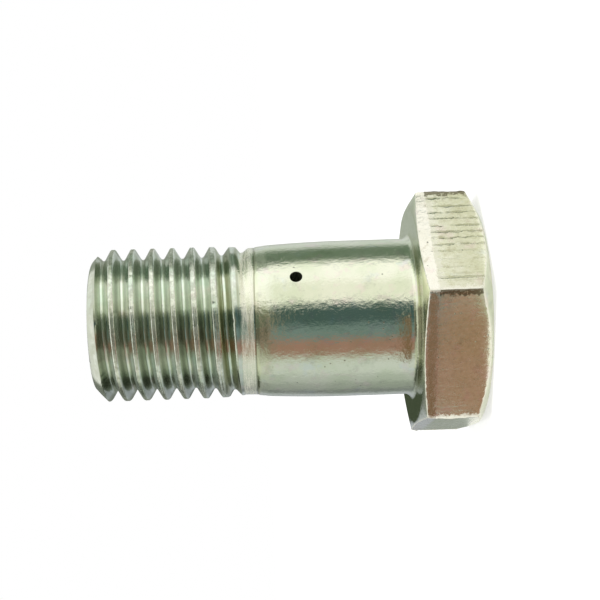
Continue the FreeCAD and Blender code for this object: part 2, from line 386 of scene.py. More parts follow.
def nick_depth(angle, height, radius):
    """How deep the nicks are at a point. They are felt on the crests and not in the grooves."""
    depth = np.zeros_like(height)
    for nick_angle, nick_height, width, deep in nicks:
        round_way = ((angle - nick_angle + 180) % 360 - 180) * math.pi / 180 * CREST
        near = (round_way / width) ** 2 + ((height - nick_height) / (1.4 * width)) ** 2
        depth += deep * np.exp(-near)
    return depth * np.clip((radius - ROOT - 0.35) / 0.3, 0, 1)


print("nicks:", len(nicks))


# %% Put the thread together
CREST_BLEND = 0.12


def thread_radius(angle, height):
    """Radius of the thread: the grooves taken out of the blank, then the seam and the nicks."""
    turn = np.floor((height - FIRST_GROOVE) / PITCH - angle / 360)
    groove = np.minimum(groove_radius(angle, height, turn), groove_radius(angle, height, turn + 1))
    radius = smooth_least(groove, blank_radius(height), CREST_BLEND)
    on_crest = np.clip((radius - CREST + 0.2) / 0.12, 0, 1)
    radius = radius - seam_depth(angle, height) * on_crest
    return radius - nick_depth(angle, height, radius)


angle_grid = np.broadcast_to(degrees, helix_z.shape)
helix_r = thread_radius(angle_grid, helix_z)
print("thread radius from", helix_r.min().round(3), "to", helix_r.max().round(3), "mm")

# %% [markdown]
# # The bore
# The end face is flat. A blind bore runs down the axis to just past the fluid hole and ends in
# the cone that the drill leaves. None of this is seen in the photo, so it is left plain. A
# Boolean could cut it, but it is round and runs straight in, so more rows of the grid do it.

# %% Rows from the end face down the bore
BORE = 2.75
BORE_BOTTOM = 12.66
BORE_MOUTH = 0.4
DRILL_POINT = math.tan(math.radians(59))

end_radius = thread_radius(degrees, np.full(columns, END_Z))
end_rows = [row(end_radius - 0.12, END_Z), row(4.3, END_Z), row(3.7, END_Z)]
mouth = row(BORE + BORE_MOUTH, END_Z)
throat = row(BORE, END_Z - BORE_MOUTH)
bore_bottom = row(BORE, BORE_BOTTOM)
bore_tip_z = BORE_BOTTOM - BORE / DRILL_POINT
end_rows += rounded(end_rows[-1], mouth, throat, 0.06, steps=2)
marks["bore starts"] = len(end_rows)
end_rows += rounded(mouth, throat, bore_bottom, 0.06, steps=2)
end_rows += [row(BORE, z) for z in (26.0, 22.0, 18.0, 15.0, 14.6, 13.2)]
end_rows += [bore_bottom] + between(bore_bottom, row(0.4, bore_tip_z + 0.25), 2)
print("rows of the end face and bore:", len(end_rows))

# %% [markdown]
# # One closed mesh
# The rings, the climbing rows and the rings of the bore are joined into one skin. Points that
# fall on the same place are made one, and faces that shrink to nothing are dropped, so the mesh
# stays closed where the climbing rows meet the two end rings. Merging by distance could close it
# too, but it might also join points of the fine burr that only lie close together.
#
# Two numbers are kept with every point, for the materials: how worn an edge is, which also
# sets a painted highlight on edges and crests, and how stained the metal is there, which in the
# thread's grooves is a painted shade instead. They could be painted by hand, but here the rows
# already know them.

# %% Collect the points
FINISHES = ["zinc_forged", "zinc_sheared", "zinc_torn", "zinc_turned", "zinc_rolled",
            "drilled_bore"]
points, wear_and_highlight_values, stains_and_groove_shade = [], [], []


def add_point(x, y, z, wear_and_highlight=0.0, stain_and_shade=0.0):
    """Adds a point with its wear and painted highlight, and stain and painted shade, and returns
    its number.
    """
    points.append((x, y, z))
    wear_and_highlight_values.append(wear_and_highlight)
    stains_and_groove_shade.append(stain_and_shade)
    return len(points) - 1


def add_ring(ring, wear_and_highlight=0.0, stain_and_shade=0.0):
    """Adds one row of points and returns their numbers."""
    wear_and_highlight, stain_and_shade = np.broadcast_to(wear_and_highlight, columns), np.broadcast_to(stain_and_shade, columns)
    x, y = ring[:, 0] * np.cos(theta), ring[:, 0] * np.sin(theta)
    numbers = []
    for i in range(columns):
        numbers.append(add_point(x[i], y[i], ring[i, 1], float(wear_and_highlight[i]), float(stain_and_shade[i])))
    return np.array(numbers)


print("finishes:", FINISHES)

# %% Faces between the rings
faces, finish_of_face = [], []


def add_face(corners, finish):
    """Adds a face, unless its corners fall together and leave less than a triangle."""
    corners = list(dict.fromkeys(corners))
    if len(corners) > 2:
        faces.append(corners)
        finish_of_face.append(FINISHES.index(finish))


def join_rings(lower, upper, finish):
    """Faces all the way round between two rows."""
    for i in range(columns):
        j = (i + 1) % columns
        add_face((lower[i], lower[j], upper[j], upper[i]), finish)


def finish_of_row(index):
    """The finish above a row of the head or shank."""
    if index < marks["chamfer ends"]:
        return "zinc_forged"
    if index < marks["band starts"] + MIDDLE_OF_EDGE:
        return "zinc_sheared"
    if index < marks["band ends"]:
        return "zinc_torn"
    return "zinc_turned"


print("rows of each finish:", {name: [finish_of_row(i) for i in range(len(rows))].count(name)
                               for name in FINISHES[:4]})

# %% [markdown]
# ## Where the head is worn, highlighted and dirty
# Tools rub the edges of the hexagon bright, most of all at its corners, and that pale colour is
# partly a painted highlight. The bearing face is dull, and on one side dirt has gathered in the
# fillet. These marks follow the rows, so each row is given its own amounts. A stain of up to 1 is
# dull plating, and above 1 it is dirt.

# %% Edge wear of the head, with its painted highlight
corner_wear_and_highlight = np.clip(1.0 - near_corner / 1.6, 0, 1)
ring_wear_and_highlight = [np.zeros(columns) for _ in rows]
for centre in (marks["chamfer ends"], marks["band ends"]):
    for offset, amount in ((0, 1.0), (-1, 0.8), (1, 0.8), (-2, 0.3), (2, 0.3)):
        ring_wear_and_highlight[centre + offset] = np.maximum(ring_wear_and_highlight[centre + offset], amount)
for index in range(marks["chamfer ends"], marks["band ends"] + 1):
    ring_wear_and_highlight[index] = np.maximum(ring_wear_and_highlight[index], corner_wear_and_highlight)
print("worn and highlighted rows of the head:", sum(wear_and_highlight.max() > 0 for wear_and_highlight in ring_wear_and_highlight))

# %% Stain of the bearing face, and dirt in the fillet
DIRTY_SIDE = -80
DULL_PLATING = 0.9
from_dirty_side = (np.degrees(theta) - DIRTY_SIDE + 180) % 360 - 180
dirty_stretch = np.interp(from_dirty_side, [-28, -14, 14, 20], [0, 1, 1, 0])


def ring_stain(index):
    """How stained each point of a row is."""
    on_bearing_face = marks["band ends"] + 3 <= index < marks["fillet starts"] + 3
    stain_and_groove_shade = np.full(columns, DULL_PLATING if on_bearing_face else 0.0)
    if marks["band ends"] + 4 <= index < marks["shank starts"]:
        rows_up = index - marks["fillet starts"]
        dirt = np.interp(rows_up, [-2, 0, 3, 5], [1.25, 1.8, 1.8, 0.0])
        stain_and_groove_shade = np.maximum(stain_and_groove_shade, dirty_stretch * dirt)
    return stain_and_groove_shade


print("columns with dirt in the fillet:", int((ring_stain(marks["fillet starts"]) > 1).sum()))

# %% Join the rings of the head and shank
bottom = add_point(0, 0, 0)
ring = add_ring(rows[0])
for i in range(columns):
    add_face((bottom, ring[(i + 1) % columns], ring[i]), "zinc_forged")
for index in range(1, len(rows)):
    following = add_ring(rows[index], ring_wear_and_highlight[index], ring_stain(index))
    join_rings(ring, following, finish_of_row(index - 1))
    ring = following
print("points up to the neck:", len(points))

# %% Points of the climbing rows
# The crests take wear with a painted highlight, and the grooves a painted shade that fades out
# over the neck.
crest_wear_and_highlight = np.clip((helix_r - CREST + 0.16) / 0.16, 0, 1) * 0.8
depth = np.clip((CREST - helix_r) / (CREST - ROOT), 0, 1)
groove_shade_depth = np.clip(depth * 7, 0, 1) * np.clip((helix_z - NECK_END) / 0.25, 0, 1)
thread_numbers = np.empty(helix_z.shape, dtype=int)
# Rows that are held at an end ring fall on the same place, where one point is enough.
known = {}
for k in range(len(helix_z)):
    for i in range(columns):
        key = (i, round(float(helix_z[k, i]), 6))
        if key not in known:
            x = helix_r[k, i] * math.cos(theta[i])
            y = helix_r[k, i] * math.sin(theta[i])
            wear_and_highlight, stain_and_shade = float(crest_wear_and_highlight[k, i]), float(groove_shade_depth[k, i])
            known[key] = add_point(x, y, helix_z[k, i], wear_and_highlight, stain_and_shade)
        thread_numbers[k, i] = known[key]
print("points with the thread:", len(points))


# %% Join the climbing rows
def finish_of_thread(height):
    """The neck is turned, and everything past it is rolled."""
    return "zinc_rolled" if height > NECK_END else "zinc_turned"


join_rings(ring, thread_numbers[0], "zinc_turned")
last = len(helix_z) - 1
for k in range(last):
    lower, upper = thread_numbers[k], thread_numbers[k + 1]
    for i in range(columns - 1):
        corners = (lower[i], lower[i + 1], upper[i + 1], upper[i])
        add_face(corners, finish_of_thread(helix_z[k, i]))
# The last column meets the first one a pitch higher, which is one turn of rows further on.
for k in range(last - rows_per_turn):
    pitch_on = thread_numbers[k + rows_per_turn:k + rows_per_turn + 2, 0]
    corners = (thread_numbers[k, -1], pitch_on[0], pitch_on[1], thread_numbers[k + 1, -1])
    add_face(corners, finish_of_thread(helix_z[k, -1]))
print("faces with the thread:", len(faces))

# %% Close the end face and the bore
ring = thread_numbers[last]
for index, end_row in enumerate(end_rows):
    following = add_ring(end_row)
    join_rings(ring, following, "drilled_bore" if index > marks["bore starts"] else "zinc_turned")
    ring = following
tip = add_point(0, 0, bore_tip_z)
for i in range(columns):
    add_face((ring[i], ring[(i + 1) % columns], tip), "drilled_bore")
print("points:", len(points), "faces:", len(faces))

# %% Make the mesh
mesh = bpy.data.meshes.new("banjo_bolt_skin")
mesh.from_pydata([(x * MM, y * MM, z * MM) for x, y, z in points], [], faces)
mesh.validate()
mesh.polygons.foreach_set("material_index", finish_of_face)
mesh.polygons.foreach_set("use_smooth", [True] * len(faces))
wear_and_edge_highlight = mesh.attributes.new("wear_and_edge_highlight", "FLOAT", "POINT")
wear_and_edge_highlight.data.foreach_set("value", wear_and_highlight_values)
stain_and_groove_shade = mesh.attributes.new("stain_and_groove_shade", "FLOAT", "POINT")
stain_and_groove_shade.data.foreach_set("value", stains_and_groove_shade)
mesh.update()
bolt = bpy.data.objects.new("banjo_bolt_skin", mesh)
bpy.context.scene.collection.objects.link(bolt)
print("faces:", len(mesh.polygons), "points:", len(mesh.vertices))

# %% [markdown]
# # The fluid hole
# The hole is drilled through one wall of the shank into the bore. It is cut with a Boolean, as
# the drill does it, because its edge crosses the grid at a slant. The drill shape is a little
# wider at the surface, where its edge is broken.


# %% A drill shape
def drill(name, radii_at, steps=40):
    """A closed turned shape along +X, from pairs of distance from the axis and radius."""
    corners, skin = [], []
    for distance, radius in radii_at:
        for i in range(steps):
            turn = 2 * math.pi * i / steps
            y, z = radius * math.cos(turn), radius * math.sin(turn)
            corners.append((distance * MM, y * MM, z * MM))
    for k in range(len(radii_at) - 1):
        for i in range(steps):
            j = (i + 1) % steps
            below, above = k * steps, (k + 1) * steps
            skin.append((below + i, below + j, above + j, above + i))
    skin.append(tuple(reversed(range(steps))))
    skin.append(tuple(range((len(radii_at) - 1) * steps, len(radii_at) * steps)))
    shape = bpy.data.meshes.new(name)
    shape.from_pydata(corners, [], skin)
    shape.update()
    return bpy.data.objects.new(name, shape)


HOLE_RADIUS, HOLE_Z, HOLE_ANGLE = 0.45, 13.86, -38.2
BROKEN_EDGE = 0.03
INSIDE_BORE, PAST_SURFACE = 1.0, 1.0
surface = shank_radius(HOLE_Z)
cutter = drill("fluid_hole_drill", [
    (INSIDE_BORE, HOLE_RADIUS), (surface - 0.06, HOLE_RADIUS),
    (surface + 0.05, HOLE_RADIUS + BROKEN_EDGE),
    (surface + PAST_SURFACE, HOLE_RADIUS + BROKEN_EDGE),
])
towards_hole = Matrix.Rotation(math.radians(HOLE_ANGLE), 4, "Z")
cutter.matrix_world = Matrix.Translation((0, 0, HOLE_Z * MM)) @ towards_hole
bpy.context.scene.collection.objects.link(cutter)
print("points of the drill:", len(cutter.data.vertices))

# %% Drill the hole
SHARP_ANGLE = 38
for name in FINISHES:
    finish = bpy.data.materials.new(name)
    mesh.materials.append(finish)
    cutter.data.materials.append(finish)
bored = [FINISHES.index("drilled_bore")] * len(cutter.data.polygons)
cutter.data.polygons.foreach_set("material_index", bored)

drilling = bolt.modifiers.new("fluid hole", "BOOLEAN")
drilling.operation = "DIFFERENCE"
drilling.solver = "EXACT"
drilling.material_mode = "INDEX"
drilling.object = cutter
drilled = bpy.data.meshes.new_from_object(
    bolt.evaluated_get(bpy.context.evaluated_depsgraph_get()))
bolt.modifiers.clear()
bolt.data = drilled
drilled.name = "banjo_bolt_skin"
bpy.data.meshes.remove(mesh)
bpy.data.objects.remove(cutter)
drilled.polygons.foreach_set("use_smooth", [True] * len(drilled.polygons))
drilled.set_sharp_from_angle(angle=math.radians(SHARP_ANGLE))
triangles = sum(len(face.vertices) - 2 for face in drilled.polygons)
print("faces after drilling:", len(drilled.polygons), "triangles:", triangles)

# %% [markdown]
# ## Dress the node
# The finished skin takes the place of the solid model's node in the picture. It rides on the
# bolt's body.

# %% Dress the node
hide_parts("banjo_bolt")
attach(bolt, "root")
print(bolt.name, "stands for the node banjo_bolt")

# %% [markdown]
# # Helpers for materials
# A node tree can be joined by hand in the editor, one link after the other. Written out, the same
# few steps repeat: add a node, set or join its inputs, and pass its output on. These helpers
# do that, so that each effect below reads as a short list of what it does. All patterns use
# the object's own place in millimetres, so they stay on the steel when the camera moves.


# %% Node groups and nodes
def new_group(name, inputs, outputs):
    """An empty shader node group with named sockets, and its two end nodes."""
    group = bpy.data.node_groups.new(name, "ShaderNodeTree")
    for socket_name, kind, value in inputs:
        socket = group.interface.new_socket(socket_name, in_out="INPUT", socket_type=kind)
        socket.default_value = value
    for socket_name, kind in outputs:
        group.interface.new_socket(socket_name, in_out="OUTPUT", socket_type=kind)
    return group, group.nodes.new("NodeGroupInput"), group.nodes.new("NodeGroupOutput")


def give(tree, socket, value):
    """Joins a socket to another one, or sets its plain value."""
    if isinstance(value, bpy.types.NodeSocket):
        tree.links.new(value, socket)
    else:
        socket.default_value = value


def add(tree, kind, joined=None, **values):
    """Adds a node, sets its plain properties and joins or sets its inputs by name or number."""
    node = tree.nodes.new(kind)
    for key, value in values.items():
        setattr(node, key, value)
    for key, value in (joined or {}).items():
        give(tree, node.inputs[key], value)
    return node


def place_group(tree, group, **values):
    """Places a node group in a tree. An underscore in a name stands for a space."""
    node = add(tree, "ShaderNodeGroup", node_tree=group)
    for name, value in values.items():
        give(tree, node.inputs[name.replace("_", " ")], value)
    return node


print("helpers: new_group, give, add, place_group")


# %% Sums, steps and mixed colours
def maths(tree, operation, first, second=0.0, clamp=False):
    """One sum of two values, held between 0 and 1 if clamp is on."""
    joined = {0: first, 1: second}
    return add(tree, "ShaderNodeMath", joined, operation=operation, use_clamp=clamp).outputs[0]


def times(tree, first, second, clamp=False):
    """Two values multiplied."""
    return maths(tree, "MULTIPLY", first, second, clamp)


def plus(tree, first, second, clamp=False):
    """Two values added."""
    return maths(tree, "ADD", first, second, clamp)


def stretched(tree, value, low, high, to_low, to_high):
    """Maps a value that runs from low to high to another range, and holds it at the ends."""
    joined = {"Value": value, "From Min": low, "From Max": high, "To Min": to_low,
              "To Max": to_high}
    return add(tree, "ShaderNodeMapRange", joined).outputs["Result"]


def step_between(tree, value, low, high):
    """0 at low and 1 at high, with a soft change between them."""
    joined = {"Value": value, "From Min": low, "From Max": high}
    step = add(tree, "ShaderNodeMapRange", joined, interpolation_type="SMOOTHSTEP")
    return step.outputs["Result"]


def shaken(tree, value, pattern, amount):
    """The value moved up and down by a pattern that lies round 0.5."""
    return plus(tree, value, times(tree, maths(tree, "SUBTRACT", pattern, 0.5), amount))


def colour_mix(tree, factor, first, second):
    """The first colour at a factor of 0 and the second one at 1."""
    # A Mix node has its two colours at inputs 6 and 7, and its two plain values at 2 and 3.
    joined = {0: factor, 6: first, 7: second}
    return add(tree, "ShaderNodeMix", joined, data_type="RGBA").outputs[2]


print("helpers: maths, times, plus, stretched, step_between, shaken, colour_mix")


# %% Places and noise
def millimetres(tree, stretch=(1, 1, 1), shift=(0, 0, 0)):
    """Object place in millimetres, stretched to make a grain that runs one way."""
    place = tree.nodes.new("ShaderNodeTexCoord").outputs["Object"]
    per_metre = tuple(s / MM for s in stretch)
    joined = {"Vector": place, "Location": shift, "Scale": per_metre}
    return add(tree, "ShaderNodeMapping", joined).outputs["Vector"]


def noise(tree, scale, detail=3.0, roughness=0.55, place=None, **placing):
    """Noise at a given place, or at the own place in millimetres, stretched and shifted."""
    if place is None:
        place = millimetres(tree, **placing)
    joined = {"Vector": place, "Scale": scale, "Detail": detail, "Roughness": roughness}
    return add(tree, "ShaderNodeTexNoise", joined).outputs["Fac"]


def around_axis(tree):
    """The place in millimetres as X, Y and Z, and the angle round the axis."""
    parts = add(tree, "ShaderNodeSeparateXYZ", {0: millimetres(tree)}).outputs
    return parts["X"], parts["Y"], parts["Z"], maths(tree, "ARCTAN2", parts["Y"], parts["X"])


def height_up(tree):
    """Height above the crown in millimetres."""
    return add(tree, "ShaderNodeSeparateXYZ", {0: millimetres(tree)}).outputs["Z"]


def kept_with_points(tree, name):
    """A number that the mesh keeps at each point."""
    return add(tree, "ShaderNodeAttribute", attribute_name=name).outputs["Fac"]


print("helpers: millimetres, noise, around_axis, height_up, kept_with_points")

# %% [markdown]
# # Effects that several finishes share
# The whole bolt was plated at once, so its finishes differ only in how the steel underneath was
# worked. What they share is made once, as node groups: the tint of the plating, its fine
# grain, worn edges with a painted highlight and small dark specks. A group gives out colours,
# masks and heights, and each material joins them to its own shader.
#
# ## Tint of the plating
# Bright zinc with a thin yellow-green passivation: cream where the film is thin, greener or
# faintly rosy where it is thicker. Slow noise picks between the colours. A single colour would
# look like paint.

# %% Group: plating tint
CREAM = (0.86, 0.87, 0.70, 1)
GREENISH = (0.76, 0.81, 0.60, 1)
ROSY = (0.88, 0.74, 0.70, 1)
BLUISH = (0.70, 0.78, 0.84, 1)

tint_group, tint_in, tint_out = new_group(
    "plating tint",
    [("Thin film", "NodeSocketColor", CREAM), ("Thick film", "NodeSocketColor", GREENISH)],
    [("Colour", "NodeSocketColor")],
)
tree = tint_group
thick = step_between(tree, noise(tree, 0.35, detail=4), 0.35, 0.68)
film = colour_mix(tree, thick, tint_in.outputs["Thin film"], tint_in.outputs["Thick film"])
rosy = noise(tree, 0.8, shift=(7, 3, 1))
film = colour_mix(tree, times(tree, step_between(tree, rosy, 0.54, 0.70), 0.45), film, ROSY)
bluish = noise(tree, 0.7, shift=(1, 9, 4))
film = colour_mix(tree, times(tree, step_between(tree, bluish, 0.60, 0.76), 0.3), film, BLUISH)
give(tree, tint_out.inputs["Colour"], film)
print("group:", tint_group.name, "nodes:", len(tint_group.nodes))

# %% [markdown]
# ## Grain, wear with a painted highlight, and specks
# The plating copies the steel's surface: fine lines where it was turned or sheared, soft
# orange-peel where it was forged. Along edges it is polished by handling, and its pale colour
# there is partly a painted highlight. Dust and small pits leave dark specks. The grain takes its
# place already stretched, so that each finish can turn and lengthen it in its own way.

# %% Group: fine grain
grain_group, grain_in, grain_out = new_group(
    "fine grain",
    [("Stretched place", "NodeSocketVector", (0, 0, 0)), ("Size", "NodeSocketFloat", 6.0),
     ("Coarse share", "NodeSocketFloat", 0.4)],
    [("Height", "NodeSocketFloat"), ("Streaks", "NodeSocketFloat")],
)
tree = grain_group
place, size = grain_in.outputs["Stretched place"], grain_in.outputs["Size"]
fine = noise(tree, size, detail=5, roughness=0.6, place=place)
coarse = noise(tree, times(tree, size, 0.22), detail=2, place=place)
share = {0: grain_in.outputs["Coarse share"], 2: fine, 3: coarse}
mixed = add(tree, "ShaderNodeMix", share, data_type="FLOAT").outputs[0]
give(tree, grain_out.inputs["Height"], mixed)
give(tree, grain_out.inputs["Streaks"], step_between(tree, fine, 0.56, 0.72))
print("group:", grain_group.name, "nodes:", len(grain_group.nodes))

# %% Group: edge wear, with its painted highlight
wear_highlight_group, wear_highlight_in, wear_highlight_out = new_group(
    "edge wear and highlight",
    [("Amount", "NodeSocketFloat", 0.6), ("Raggedness", "NodeSocketFloat", 5.0)],
    [("Mask", "NodeSocketFloat")],
)
tree = wear_highlight_group
chips = noise(tree, wear_highlight_in.outputs["Raggedness"], detail=4)
uneven = shaken(tree, kept_with_points(tree, "wear_and_edge_highlight"), chips, 1.4)
mask = step_between(tree, uneven, 0.35, 0.8)
give(tree, wear_highlight_out.inputs["Mask"], times(tree, mask, wear_highlight_in.outputs["Amount"], clamp=True))
print("group:", wear_highlight_group.name, "nodes:", len(wear_highlight_group.nodes))

# %% Group: specks and smudges
speck_group, speck_in, speck_out = new_group(
    "specks and smudges",
    [("Specks", "NodeSocketFloat", 0.5), ("Smudges", "NodeSocketFloat", 0.3)],
    [("Specks", "NodeSocketFloat"), ("Smudges", "NodeSocketFloat")],
)
tree = speck_group
dots = {"Vector": millimetres(tree), "Scale": 1.6, "Randomness": 1.0}
dots = add(tree, "ShaderNodeTexVoronoi", dots, feature="F1")
small = step_between(tree, dots.outputs["Distance"], 0.11, 0.05)
rare = step_between(tree, noise(tree, 0.9, detail=2), 0.48, 0.56)
dotted = times(tree, times(tree, small, rare), speck_in.outputs["Specks"], clamp=True)
give(tree, speck_out.inputs["Specks"], dotted)
cloud = noise(tree, 0.9, detail=5, roughness=0.65, shift=(4, 4, 8))
cloud = times(tree, step_between(tree, cloud, 0.52, 0.72), speck_in.outputs["Smudges"], clamp=True)
give(tree, speck_out.inputs["Smudges"], cloud)
print("group:", speck_group.name, "nodes:", len(speck_group.nodes))

# %% [markdown]
# ## Score lines of the shearing die
# The die that shears the hexagon drags chips along the flats and leaves lines that run along the
# axis. They are deepest on one flat. The group finds its place on the flats from the angle round
# the axis, so it works on all six. Random dots on a line, stretched along the axis, make lines
# that differ in spacing and width, which evenly spaced waves wouldn't.
#
# The edges of a flat are ragged too: a bright burr along one side, where the metal smeared over
# the corner, whose pale colour is partly a painted highlight, and a painted shadow of the burr
# along the other.

# %% Group: score lines
score_group, score_in, score_out = new_group(
    "score lines",
    [("Spacing", "NodeSocketFloat", 0.62), ("Other flats", "NodeSocketFloat", 0.25)],
    [("Mask", "NodeSocketFloat"), ("Height", "NodeSocketFloat"),
     ("Burr with highlight", "NodeSocketFloat"), ("Painted burr shadow", "NodeSocketFloat")],
)
SIXTH = math.pi / 3
DEEP_FLAT, FLAT_TOLERANCE = 5.0, 0.1
tree = score_group
_, _, up, angle = around_axis(tree)
sixths = maths(tree, "DIVIDE", plus(tree, angle, 2 * math.pi), SIXTH)
flat_number = maths(tree, "FLOOR", sixths)
from_middle = maths(tree, "SUBTRACT", maths(tree, "FRACT", sixths), 0.5)
from_middle = times(tree, from_middle, SIXTH)
across = times(tree, maths(tree, "TANGENT", from_middle), APOTHEM)
deep_flat = maths(tree, "COMPARE", flat_number, DEEP_FLAT)
deep_flat.node.inputs[2].default_value = FLAT_TOLERANCE
print("group:", score_group.name, "nodes that find the place on a flat:", len(tree.nodes))

# %% Score lines: the lines
LINE_WANDER, OTHER_LINES_PER_FLAT = 0.27, 17.37
wobble = noise(tree, 2.2, detail=4, roughness=0.7, stretch=(1, 1, 0.7))
shifted = shaken(tree, across, wobble, LINE_WANDER)
seeded = maths(tree, "DIVIDE", shifted, score_in.outputs["Spacing"])
seeded = plus(tree, seeded, times(tree, flat_number, OTHER_LINES_PER_FLAT))
dots = add(tree, "ShaderNodeTexVoronoi", {"W": seeded, "Scale": 1.0, "Randomness": 0.8},
           voronoi_dimensions="1D", feature="DISTANCE_TO_EDGE")
thickness = noise(tree, 1.6, stretch=(1.5, 1.5, 0.8), shift=(3, 1, 2))
thickness = stretched(tree, thickness, 0.35, 0.65, 0.05, 0.34)
line = maths(tree, "DIVIDE", dots.outputs["Distance"], thickness)
line = step_between(tree, line, 1.0, 0.15)
breaks = noise(tree, 1.5, detail=4, stretch=(1, 1, 0.7), shift=(8, 8, 1))
line = times(tree, line, step_between(tree, breaks, 0.35, 0.52))

upper_part = times(tree, step_between(tree, across, -1.6, -0.2), 0.75)
strength = times(tree, deep_flat, plus(tree, upper_part, 0.25))
elsewhere = times(tree, maths(tree, "SUBTRACT", 1.0, deep_flat), score_in.outputs["Other flats"])
mask = times(tree, line, plus(tree, strength, elsewhere), clamp=True)

LONG_LINE = -3.75
long_line = maths(tree, "ABSOLUTE", maths(tree, "SUBTRACT", shifted, LONG_LINE))
long_line = times(tree, step_between(tree, long_line, 0.15, 0.04), times(tree, deep_flat, 0.8))
mask = maths(tree, "MAXIMUM", mask, long_line)
give(tree, score_out.inputs["Mask"], mask)
give(tree, score_out.inputs["Height"], times(tree, mask, -1.0))
print("nodes with the lines:", len(tree.nodes))

# %% Score lines: the edges of a flat, with a painted highlight and a painted shadow
LOW_SIDE, HIGH_SIDE, FULLY_RAGGED = -4.5, 4.42, 0.18
EDGE_WANDER = 1.3
edge = noise(tree, 3.6, detail=4, roughness=0.7, shift=(5, 2, 7))
edge = shaken(tree, across, edge, EDGE_WANDER)
# A bright burr along the low side and beside the band, whose pale is partly a painted highlight.
low_burr_highlight = step_between(tree, edge, LOW_SIDE, LOW_SIDE - FULLY_RAGGED)
dabs = noise(tree, 2.4, stretch=(1.6, 1.6, 0.5), shift=(1, 4, 9))
beside_band = plus(tree, up, times(tree, dabs, 2.2))
beside_band = times(tree, step_between(tree, beside_band, 4.55, 4.95), times(tree, deep_flat, 0.7))
give(tree, score_out.inputs["Burr with highlight"], maths(tree, "MAXIMUM", low_burr_highlight, beside_band))
# A painted shadow of the burr along the high side of a flat, stronger on some flats.
two_darkest = maths(tree, "GREATER_THAN", flat_number, 3.5)
shadowed_flats = plus(tree, times(tree, two_darkest, 0.75), 0.25)
burr_shadow = step_between(tree, edge, HIGH_SIDE, HIGH_SIDE + FULLY_RAGGED)
give(tree, score_out.inputs["Painted burr shadow"], times(tree, burr_shadow, shadowed_flats))
print("nodes of the whole group:", len(tree.nodes))

# %% [markdown]
# ## Painted shade in the thread
# The grooves are darkened with painted shade, in two lines along each groove, one on each flank,
# and a little more on one side of the thread. It could be painted, but the lines follow the helix
# exactly. So the group works out how far a point lies from the middle of its groove, from its
# height and its angle round the axis, and a curve turns that into painted shade.

# %% Group: painted shade in the thread's grooves
SHADE_ACROSS_GROOVE = (
    (-0.66, 0.0), (-0.56, 0.25), (-0.46, 0.30), (-0.38, 0.5), (-0.29, 0.9), (-0.22, 1.0),
    (-0.13, 0.7), (-0.05, 0.0), (0.05, 0.0), (0.12, 0.45), (0.20, 0.40), (0.28, 0.65),
    (0.38, 1.0), (0.48, 1.0), (0.57, 0.7), (0.66, 0.1),
)
groove_shade_group, groove_shade_in, groove_shade_out = new_group(
    "painted groove shade", [("Patchiness", "NodeSocketFloat", 0.5)], [("Mask", "NodeSocketFloat")]
)
tree = groove_shade_group
along_x, along_y, up, angle = around_axis(tree)
turns = maths(tree, "DIVIDE", maths(tree, "SUBTRACT", up, FIRST_GROOVE), PITCH)
turns = maths(tree, "SUBTRACT", turns, maths(tree, "DIVIDE", angle, 2 * math.pi))
curve = add(tree, "ShaderNodeFloatCurve",
            {"Value": maths(tree, "FRACT", plus(tree, turns, 10.5))})
curve_points = curve.mapping.curves[0].points
for from_middle_mm, amount in SHADE_ACROSS_GROOVE:
    curve_points.new(0.5 + from_middle_mm / PITCH, amount)
curve_points[0].location = (0.0, 0.0)
curve_points[len(curve_points) - 1].location = (1.0, 0.0)
curve.mapping.update()
print("group:", groove_shade_group.name, "curve points:", len(curve_points))

# %% Painted groove shade: patches, and more of it on one side
MORE_SHADED_SIDE = math.radians(-135)
in_groove = times(tree, curve.outputs[0], kept_with_points(tree, "stain_and_groove_shade"))
patches = noise(tree, 0.8, detail=4, stretch=(0.35, 0.35, 1.0), shift=(2, 6, 3))
patches = stretched(tree, patches, 0.3, 0.7, -1.0, 1.0)
patches = plus(tree, times(tree, patches, groove_shade_in.outputs["Patchiness"]), 1.0)
# More painted shade on the side that faces -135 degrees round the axis, less on the far side.
more_shaded_side = plus(tree, times(tree, along_x, math.cos(MORE_SHADED_SIDE) / CREST),
                 times(tree, along_y, math.sin(MORE_SHADED_SIDE) / CREST))
more_shaded_side = stretched(tree, more_shaded_side, 0.0, 0.95, 0.72, 1.08)
amount = times(tree, in_groove, times(tree, patches, more_shaded_side), clamp=True)
give(tree, groove_shade_out.inputs["Mask"], amount)
print("nodes of the whole group:", len(tree.nodes))

# %% [markdown]
# # The six finishes
# Each finish is the same zinc over steel that was worked in another way: forged crown, sheared
# flats, torn band, turned shank, rolled thread and drilled bore. A helper lays the shared effects
# over one metal shader, and each finish gives its own grain, roughness and amounts. Marks that
# only one finish has are laid over it afterwards, in its own cell.
#
# Bare worn edges and burrs are full of fine scratches that scatter light, and their pale colour is
# partly a painted highlight. They are made a little less metallic, so that they look pale from
# every side.

# %% Colours of wear with a painted highlight, and of dirt
# Pale of worn edges and crests, which is partly a painted highlight.
PALE_WEAR_AND_HIGHLIGHT = (0.96, 0.94, 0.80, 1)
# Pale of the burr, partly a painted highlight, and of the satin neck.
BRIGHT_PALE = (0.97, 0.95, 0.80, 1)
SPECK_DARK = (0.10, 0.10, 0.08, 1)
SMUDGE_GREY = (0.40, 0.42, 0.34, 1)
print("worn and highlighted edges:", PALE_WEAR_AND_HIGHLIGHT[:3], "specks:", SPECK_DARK[:3])


